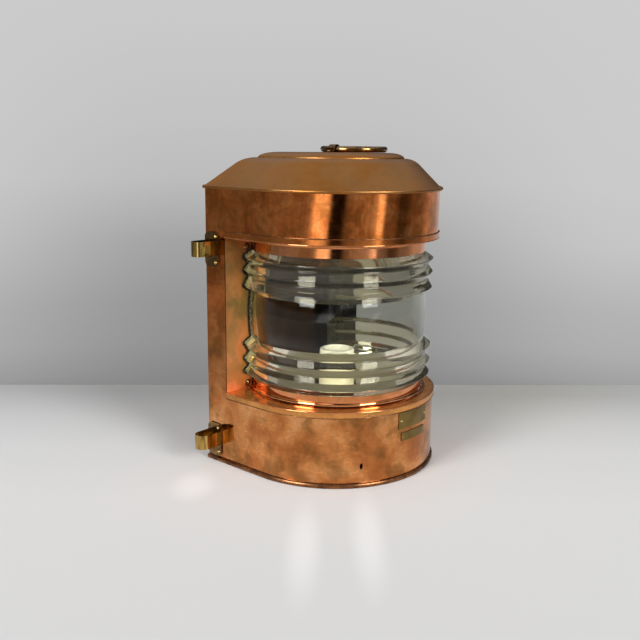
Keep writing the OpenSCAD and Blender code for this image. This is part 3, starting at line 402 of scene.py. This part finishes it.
radial = {"centre": (0, 0.03, 0), "weights": (1, 1, 0), "colours": ("0C0806", "1E1610")}
rearward = {"centre": (0, 0, 0), "weights": (0, 1, 0), "colours": ("2A1D13", "3E2B1B")}
backwards = {"centre": (0, 1, 0), "weights": (0, 1, 0), "colours": ("0A0806", "161210")}
hoodLook = {
    "from": 0.18, "to": 0.3, "cloudMm": 30, "swirl": 0.9, "smokeMm": 22, "smokeAt": 0.55, "smokeEdge": 0.14,
    "smokeDepth": 0.6, "colours": [(0.3, "F09654"), (0.5, "E08040"), (0.65, "C06830")], "smokeColour": "A8682E",
    "smokeHaze": 0.08, "mottleMm": 5, "mottle": 0.12, "scratchMm": 7, "scratch": 0.2,
}
polishedCopper = sheetFinish("polishedSheetCopper", {
    "shift": (0.1, 0.2, 0.3), "cloudMm": 42, "smokeMm": 30, "smokeAt": 0.565, "smokeEdge": 0.09, "smokeDepth": 0.58,
    "colours": [(0.3, "E4A26A"), (0.45, "D28C52"), (0.58, "BE7642"), (0.7, "AC6836")],
    "smokeColour": "825A30", "smokeHaze": 0.12, "mottleMm": 6, "mottle": 0.14, "gloss": (0.035, 0.1),
    "scratchMm": 9, "scratch": 0.28,
    "dentMm": 90, "dentDeepMm": 0.2, "grainMm": 0.008, "above": hoodLook, "inner": radial,
})
doorCopper = sheetFinish("rolledDoorCopper", {
    "shift": (0.4, 0.3, 0.6), "cloudMm": 50, "smokeMm": 34, "smokeAt": 0.56, "smokeEdge": 0.11, "smokeDepth": 0.6,
    "colours": [(0.3, "DC9A62"), (0.45, "D08A50"), (0.7, "B8703E")],
    "smokeColour": "8A6234", "smokeHaze": 0.12, "mottleMm": 6, "mottle": 0.1, "gloss": (0.1, 0.2),
    "dentMm": 110, "dentDeepMm": 0.4, "grainMm": 0.03, "inner": rearward,
})
# the lens panel above this height is coloured darker and more olive
panelUpperLook = {
    "from": 0.18, "to": 0.225, "cloudMm": 60, "smokeMm": 40, "smokeAt": 0.5, "smokeEdge": 0.1, "smokeDepth": 0.9,
    "colours": [(0.35, "B87A46"), (0.6, "A06A38")], "smokeColour": "7A6434", "smokeHaze": 0.05,
    "mottleMm": 7, "mottle": 0.08,
}
panelCopper = sheetFinish("wipedPanelCopper", {
    "shift": (0.7, 0.1, 0.05), "cloudMm": 60, "smokeMm": 48, "smokeAt": 0.5, "smokeEdge": 0.1, "smokeDepth": 0.8,
    "colours": [(0.3, "E2946A"), (0.5, "D4844E"), (0.65, "C87A46")],
    "smokeColour": "A87844", "smokeHaze": 0.05, "mottleMm": 7, "mottle": 0.08, "gloss": (0.36, 0.46),
    "dentMm": 60, "dentDeepMm": 0.3, "grainMm": 0.01, "bare": 0.6, "above": panelUpperLook, "inner": backwards,
})
# Right wing panel coloured near black: painted shade for the dark seen there through the glass
shadePanelCopper = sheetFinish("paintedShadePanelCopper", {
    "shift": (0.7, 0.1, 0.05), "cloudMm": 60, "smokeMm": 48, "smokeAt": 0.5, "smokeEdge": 0.1, "smokeDepth": 0.8,
    "colours": [(0.3, "1C1410"), (0.6, "120D0A")], "smokeColour": "0C0907", "smokeHaze": 0.05, "mottleMm": 7,
    "mottle": 0.08, "gloss": (0.3, 0.4), "dentMm": 60, "dentDeepMm": 0.3, "grainMm": 0.02,
})
collarCopper = sheetFinish("spunCollarCopper", {
    "shift": (0.3, 0.9, 0.2), "cloudMm": 30, "smokeMm": 22, "smokeAt": 0.6, "smokeEdge": 0.1, "smokeDepth": 0.5,
    "colours": [(0.35, "F0A070"), (0.6, "DE8C54")],
    "smokeColour": "A06A3A", "smokeHaze": 0.1, "mottleMm": 6, "mottle": 0.06, "gloss": (0.04, 0.1),
    "dentMm": 80, "dentDeepMm": 0.15, "grainMm": 0.01,
})
hoodFloorCopper = sheetFinish("polishedLipCopper", {
    "shift": (0.5, 0.2, 0.9), "cloudMm": 30, "smokeMm": 18, "smokeAt": 0.55, "smokeEdge": 0.1, "smokeDepth": 0.5,
    "colours": [(0.35, "E08444"), (0.6, "CE763A")], "smokeColour": "A8703C", "smokeHaze": 0.12,
    "mottleMm": 5, "mottle": 0.12, "gloss": (0.08, 0.16), "dentMm": 70, "dentDeepMm": 0.1, "grainMm": 0.006,
})
ledgeCopper = sheetFinish("brownedPlateCopper", {
    "shift": (0.5, 0.5, 0.9), "cloudMm": 40, "smokeMm": 30, "smokeAt": 0.56, "smokeEdge": 0.1, "smokeDepth": 0.5,
    "colours": [(0.3, "D0904E"), (0.6, "BC7C3E")],
    "smokeColour": "946832", "smokeHaze": 0.05, "mottleMm": 16, "mottle": 0.1, "gloss": (0.2, 0.27),
    "dentMm": 70, "dentDeepMm": 0.2, "grainMm": 0.003, "bare": 0.7,
    "well": {"centre": (0, -0.006, 0), "radius": 0.121, "colour": "908C7E"},
})
roofCopper = sheetFinish("satinRoofCopper", {
    "shift": (0.2, 0.4, 0.1), "cloudMm": 70, "smokeMm": 60, "smokeAt": 0.55, "smokeEdge": 0.12, "smokeDepth": 0.4,
    "colours": [(0.3, "AA7540"), (0.5, "A66E36"), (0.7, "986634")],
    "smokeColour": "9C7850", "smokeHaze": 0.05, "mottleMm": 9, "mottle": 0.05, "gloss": (0.34, 0.44),
    "dentMm": 90, "dentDeepMm": 0.4, "grainMm": 0.02,
})
# Dark rolled copper of the foot bead and bottom plate; on two of the skirts' rolls it is a painted shadow line
beadCopper = sheetFinish("darkRolledCopper", {
    "shift": (0.6, 0.3, 0.7), "cloudMm": 25, "smokeMm": 18, "smokeAt": 0.55, "smokeEdge": 0.1, "smokeDepth": 0.7,
    "colours": [(0.3, "9C6A44"), (0.6, "7E5436")],
    "smokeColour": "4A3020", "smokeHaze": 0.15, "mottleMm": 5, "mottle": 0.1, "gloss": (0.2, 0.34),
    "dentMm": 50, "dentDeepMm": 0.1, "grainMm": 0.02,
})
brassStrap = sheetFinish("rolledStrapBrass", {
    "shift": (0.9, 0.6, 0.4), "cloudMm": 12, "smokeMm": 9, "smokeAt": 0.54, "smokeEdge": 0.07, "smokeDepth": 0.75,
    "colours": [(0.3, "D8B870"), (0.6, "B8944C")], "stretch": (1, 1, 0.25),
    "smokeColour": "4E3E1C", "smokeHaze": 0.12, "mottleMm": 4, "mottle": 0.1, "gloss": (0.08, 0.18),
    "dentMm": 30, "dentDeepMm": 0.1, "grainMm": 0.01,
})
turnedBrass = sheetFinish("turnedScrewBrass", {
    "shift": (0.2, 0.8, 0.6), "cloudMm": 6, "smokeMm": 4, "smokeAt": 0.56, "smokeEdge": 0.08, "smokeDepth": 0.6,
    "colours": [(0.3, "D6B878"), (0.6, "B99A56")],
    "smokeColour": "6A5428", "smokeHaze": 0.15, "mottleMm": 2, "mottle": 0.1, "gloss": (0.15, 0.28),
    "dentMm": 10, "dentDeepMm": 0.05, "grainMm": 0.01,
})
agedBrass = sheetFinish("agedRingBrass", {
    "shift": (0.4, 0.2, 0.8), "cloudMm": 12, "smokeMm": 8, "smokeAt": 0.52, "smokeEdge": 0.08, "smokeDepth": 0.7,
    "colours": [(0.3, "A8875A"), (0.6, "8A6C44")],
    "smokeColour": "5A442C", "smokeHaze": 0.1, "mottleMm": 3, "mottle": 0.08, "gloss": (0.12, 0.22),
    "dentMm": 15, "dentDeepMm": 0.03, "grainMm": 0.008,
})
plateBrass = sheetFinish("stampedPlateBrass", {
    "shift": (0.8, 0.3, 0.5), "cloudMm": 40, "smokeMm": 26, "smokeAt": 0.55, "smokeEdge": 0.16, "smokeDepth": 0.5,
    "colours": [(0.3, "947A46"), (0.6, "7C6636")],
    "smokeColour": "5E4C26", "smokeHaze": 0.2, "mottleMm": 3, "mottle": 0.12, "gloss": (0.25, 0.4),
    "dentMm": 20, "dentDeepMm": 0.05, "grainMm": 0.03,
})


# Pressed lens glass, clear and faintly olive where it is thick
def pressedGlass(name, look):
    material, tree = newMaterial(name)
    coords = addNode(tree, "ShaderNodeTexCoord")
    ripple = addNode(tree, "ShaderNodeTexNoise", {"Vector": coords.outputs["Object"],
                                                  "Scale": 1000 / look["rippleMm"], "Detail": 2.0})
    soft = addNode(tree, "ShaderNodeBump", {"Height": ripple.outputs["Fac"], "Strength": 1.0,
                                            "Distance": look["rippleDeepMm"] / 1000})
    glass = addNode(tree, "ShaderNodeBsdfPrincipled",
                    {"Base Color": linear(look["tint"]), "Roughness": look["rough"], "IOR": 1.5,
                     "Transmission Weight": look["clear"], "Specular Tint": grey(look["shine"]),
                     "Normal": soft.outputs["Normal"]})
    clear = addNode(tree, "ShaderNodeBsdfTransparent", {"Color": linear(look["tint"])})
    kind = addNode(tree, "ShaderNodeLightPath")
    lamp = addNode(tree, "ShaderNodeMixShader", {0: kind.outputs["Is Shadow Ray"], 1: glass.outputs["BSDF"],
                                                 2: clear.outputs["BSDF"]})
    addNode(tree, "ShaderNodeOutputMaterial", {"Surface": lamp.outputs["Shader"]})
    return material


lensGlass = pressedGlass("pressedLensGlass", {
    "tint": "F4F5EC", "rough": 0.0, "clear": 1.0, "shine": 0.55, "rippleMm": 35, "rippleDeepMm": 0.2})
ribGlass = pressedGlass("pressedRibGlass", {
    "tint": "EDE9D2", "rough": 0.0, "clear": 0.99, "shine": 0.8, "rippleMm": 18, "rippleDeepMm": 0.12})

# Ground glass: the sawn ends of the lens, matt and pale
material, tree = newMaterial("groundGlassEnd")
coords = addNode(tree, "ShaderNodeTexCoord")
grit = addNode(tree, "ShaderNodeTexNoise", {"Vector": coords.outputs["Object"], "Scale": 500.0, "Detail": 4.0})
tone = addNode(tree, "ShaderNodeValToRGB", {"Fac": grit.outputs["Fac"]},
               stops=[(0.3, linear("8E8870")), (0.7, linear("A49E84"))])
matt = addNode(tree, "ShaderNodeBsdfPrincipled", {"Base Color": tone.outputs["Color"], "Roughness": 0.75,
                                                  "IOR": 1.5})
addNode(tree, "ShaderNodeOutputMaterial", {"Surface": matt.outputs["BSDF"]})
groundGlass = material

# Moulded rubber: black, with the slight shine of a wiped surface
material, tree = newMaterial("mouldedBlackRubber")
coords = addNode(tree, "ShaderNodeTexCoord")
dust = addNode(tree, "ShaderNodeTexNoise", {"Vector": coords.outputs["Object"], "Scale": 400.0, "Detail": 4.0})
tone = addNode(tree, "ShaderNodeValToRGB", {"Fac": dust.outputs["Fac"]},
               stops=[(0.35, linear("0C0B0B")), (0.75, linear("1C1B1A"))])
shine = addNode(tree, "ShaderNodeMapRange", {"Value": dust.outputs["Fac"], "To Min": 0.15, "To Max": 0.4})
skin = addNode(tree, "ShaderNodeBump", {"Height": dust.outputs["Fac"], "Strength": 0.3, "Distance": 0.0001})
rubber = addNode(tree, "ShaderNodeBsdfPrincipled", {"Base Color": tone.outputs["Color"], "IOR": 1.52,
                                                    "Roughness": shine.outputs["Result"],
                                                    "Normal": skin.outputs["Normal"]})
addNode(tree, "ShaderNodeOutputMaterial", {"Surface": rubber.outputs["BSDF"]})
blackRubber = material

# Glazed porcelain: warm white body under a clear glaze
material, tree = newMaterial("glazedPorcelain")
coords = addNode(tree, "ShaderNodeTexCoord")
speck = addNode(tree, "ShaderNodeTexNoise", {"Vector": coords.outputs["Object"], "Scale": 120.0, "Detail": 4.0})
tone = addNode(tree, "ShaderNodeValToRGB", {"Fac": speck.outputs["Fac"]},
               stops=[(0.3, linear("E0DED6")), (0.7, linear("D6D3C9"))])
wavy = addNode(tree, "ShaderNodeBump", {"Height": speck.outputs["Fac"], "Strength": 0.2, "Distance": 0.0003})
glaze = addNode(tree, "ShaderNodeBsdfPrincipled",
                {"Base Color": tone.outputs["Color"], "Roughness": 0.2, "IOR": 1.5, "Coat Weight": 0.6,
                 "Coat Roughness": 0.06, "Normal": wavy.outputs["Normal"]})
addNode(tree, "ShaderNodeOutputMaterial", {"Surface": glaze.outputs["BSDF"]})
porcelain = material

finishes = {
    "body_shell": polishedCopper, "back_frame": doorCopper, "rear_door": doorCopper,
    "foot_bead": beadCopper, "bottom_plate": beadCopper,
    "base_top_plate": ledgeCopper, "hood_floor_plate": hoodFloorCopper,
    "lower_lens_collar": collarCopper, "upper_lens_collar": collarCopper,
    "left_wing_panel": panelCopper, "right_wing_panel": shadePanelCopper,
    "panel_screws": agedBrass,
    "roof": roofCopper, "roof_cap": roofCopper,
    "lens": lensGlass, "lamp_holder": porcelain, "lifting_ring": agedBrass, "ring_saddle": agedBrass,
    "large_name_plate": plateBrass, "small_name_plate": plateBrass,
}
rubberParts = ("lower_lens_seat", "upper_lens_seat", "left_lens_gasket", "right_lens_gasket", "door_seal",
               "gland_washer")
for name, part in nodes.items():
    if name in rubberParts:
        finish = blackRubber
    elif "screws" in name or "rivets" in name or "nuts" in name or "holder" in name:
        finish = finishes.get(name, turnedBrass)
    elif "loop_plate" in name:
        finish = agedBrass
    else:
        finish = finishes.get(name, brassStrap)
    part.data.materials.clear()
    part.data.materials.append(finish)
print("finishes on every part")


def addPiece(name, bm, finish, body="casing", smoothAngle=40):
    mesh = bpy.data.meshes.new(name)
    bm.to_mesh(mesh)
    bm.free()
    for face in mesh.polygons:
        face.use_smooth = True
    mesh.set_sharp_from_angle(angle=math.radians(smoothAngle))
    mesh.materials.append(finish)
    piece = bpy.data.objects.new(name, mesh)
    bpy.context.scene.collection.objects.link(piece)
    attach(piece, body)
    return piece


# ---- drum lens, all in millimetres until its last scale

drum = {
    "axisY": -6.0, "middle": 220.1, "inner": 121.0, "back": 84.0,
    "tip": 139.5, "valley": 131.7, "belt": 128.5, "bulge": 2.4, "beltHalf": 34.1, "beltSteps": 16,
    "tips": (42.7, 65.1, 84.4), "drop": 8.6, "ribsHalf": 94.4, "footRadius": 125.5, "half": 107.6,
    "tipRound": 1.7, "rootRound": 1.3, "spinSteps": 240, "innerBulge": 2.7,
}


# Outline of the upper half of the drum, as [radius, height above the belt's middle], sharp corners rounded
def drumOutline(d):
    corners = [(d["belt"], d["beltHalf"], 0)]
    for i, z in enumerate(d["tips"]):
        corners.append((d["tip"], z, d["tipRound"]))
        if i < len(d["tips"]) - 1:
            corners.append((d["valley"], d["tips"][i + 1] - d["drop"], d["rootRound"]))
    corners += [(d["footRadius"], d["ribsHalf"], 0.6), (d["footRadius"], d["half"], 0)]
    points = [(d["belt"] + d["bulge"] * (1 - (k / d["beltSteps"]) ** 2), d["beltHalf"] * k / d["beltSteps"])
              for k in range(d["beltSteps"])]
    for i, (r, z, soft) in enumerate(corners):
        here = Vector((r, z))
        if not soft:
            points.append((r, z))
            continue
        before = (Vector(corners[i - 1][:2]) - here).normalized()
        after = (Vector(corners[i + 1][:2]) - here).normalized()
        start, end = here + before * soft, here + after * soft
        for k in range(7):
            t = k / 6
            points.append(tuple((1 - t) ** 2 * start + 2 * t * (1 - t) * here + t ** 2 * end))
    return points


upperHalf = drumOutline(drum)
outline = [(r, -z) for r, z in reversed(upperHalf[1:])] + upperHalf
steps = drum["beltSteps"]
inside = [(drum["inner"] + drum["innerBulge"] * (1 - (k / steps) ** 2), drum["beltHalf"] * k / steps)
          for k in range(steps, -steps - 1, -1)]
outline = [(drum["inner"], -drum["half"])] + outline + [(drum["inner"], drum["half"])] + inside
bm = bmesh.new()
loop = [bm.verts.new((r, 0, z)) for r, z in outline]
edges = [bm.edges.new((loop[i], loop[(i + 1) % len(loop)])) for i in range(len(loop))]
bmesh.ops.spin(bm, geom=loop + edges, cent=(0, 0, 0), axis=(0, 0, 1), angle=2 * math.pi,
               steps=drum["spinSteps"], use_merge=True)
bmesh.ops.remove_doubles(bm, verts=bm.verts, dist=0.001)
bmesh.ops.translate(bm, vec=(0, drum["axisY"], drum["middle"]), verts=bm.verts)
cut = bmesh.ops.bisect_plane(bm, geom=bm.verts[:] + bm.edges[:] + bm.faces[:], plane_co=(0, drum["back"], 0),
                             plane_no=(0, 1, 0), clear_outer=True)
bmesh.ops.holes_fill(bm, edges=[e for e in bm.edges if e.is_boundary])
bmesh.ops.recalc_face_normals(bm, faces=bm.faces)
bmesh.ops.scale(bm, vec=(0.001, 0.001, 0.001), verts=bm.verts)
print("lens faces:", len(bm.faces), "open edges:", sum(e.is_boundary for e in bm.edges))
lens = addPiece("drumLens", bm, lensGlass, smoothAngle=35)
for finish in (ribGlass, groundGlass, blackRubber):
    lens.data.materials.append(finish)
beltTop = (drum["beltHalf"] + 0.5) / 1000
# the lens's right end face takes black rubber as painted shade
for face in lens.data.polygons:
    if face.center.y > drum["back"] / 1000 - 0.0001:
        face.material_index = 3 if face.center.x > 0 else 2   # the right end takes black rubber as painted shade for the dark seen there through the glass
    elif abs(face.center.z - drum["middle"] / 1000) > beltTop:
        face.material_index = 1
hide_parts("lens")

# ---- rolled edges of the two skirts, all sizes in metres

rims = {
    # name: height, how far its middle stands outside the casing wall, radius of the roll, finish
    # the rolls in the dark bead finish are painted shadow lines along the skirts
    "ledgeTopRoll": {"z": 0.1086, "out": 0.0013, "radius": 0.0009, "finish": collarCopper},
    "ledgeFootShadowLine": {"z": 0.1008, "out": 0.0014, "radius": 0.0008, "finish": beadCopper},
    "hoodFloorRoll": {"z": 0, "out": 0.0006, "radius": 0.0009, "finish": collarCopper},
    "hoodSkirtShadowLine": {"z": 0.0086, "out": 0.0008, "radius": 0.0008, "finish": beadCopper},
}
rimPath = {"radius": 0.15, "sides": 0.0755, "steps": 96, "segments": 10}
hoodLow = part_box("hood_floor_plate")[0].z


def rolledEdge(name, rim):
    bm = bmesh.new()
    reachOut = rimPath["radius"] + rim["out"]
    start = bmesh.ops.create_circle(bm, segments=rimPath["segments"], radius=rim["radius"])
    bmesh.ops.rotate(bm, cent=(0, 0, 0), matrix=Matrix.Rotation(math.pi / 2, 3, "X"), verts=start["verts"])
    bmesh.ops.translate(bm, vec=(reachOut, rimPath["sides"], rim["z"]), verts=start["verts"])
    side = bmesh.ops.extrude_edge_only(bm, edges=bm.edges[:])["geom"]
    bmesh.ops.translate(bm, vec=(0, -rimPath["sides"], 0), verts=[g for g in side if isinstance(g, bmesh.types.BMVert)])
    front = [g for g in side if not isinstance(g, bmesh.types.BMFace)]
    turned = bmesh.ops.spin(bm, geom=front, cent=(0, 0, 0), axis=(0, 0, 1), angle=-math.pi, steps=rimPath["steps"])
    last = [g for g in turned["geom_last"] if isinstance(g, bmesh.types.BMEdge)]
    side = bmesh.ops.extrude_edge_only(bm, edges=last)["geom"]
    bmesh.ops.translate(bm, vec=(0, rimPath["sides"], 0), verts=[g for g in side if isinstance(g, bmesh.types.BMVert)])
    bmesh.ops.holes_fill(bm, edges=[edge for edge in bm.edges if edge.is_boundary])
    bmesh.ops.recalc_face_normals(bm, faces=bm.faces)
    return addPiece(name, bm, rim["finish"])


for name, rim in rims.items():
    if name.startswith("hood"):
        rim["z"] += hoodLow
    rolledEdge(name, rim)
print("skirt edges rolled")

# ---- moulded rubber: the gaskets with rounded edges


def roundedCopy(name, part, finish, width):
    bm = bmesh.new()
    bm.from_mesh(part.data)
    bm.transform(part.matrix_world)
    bmesh.ops.remove_doubles(bm, verts=bm.verts, dist=0.000001)
    bmesh.ops.dissolve_limit(bm, angle_limit=0.01, verts=bm.verts, edges=bm.edges)
    corners = [edge for edge in bm.edges if edge.calc_face_angle(0) > math.radians(25)]
    bmesh.ops.bevel(bm, geom=corners, offset=width, affect="EDGES", segments=2, profile=0.5, material=-1,
                    clamp_overlap=True)
    bmesh.ops.recalc_face_normals(bm, faces=bm.faces)
    piece = addPiece(name, bm, finish)
    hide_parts(part.name)
    return piece


for side in ("left", "right"):
    roundedCopy(side + "MouldedGasket", nodes[side + "_lens_gasket"], blackRubber, 0.0007)
print("gaskets rounded")
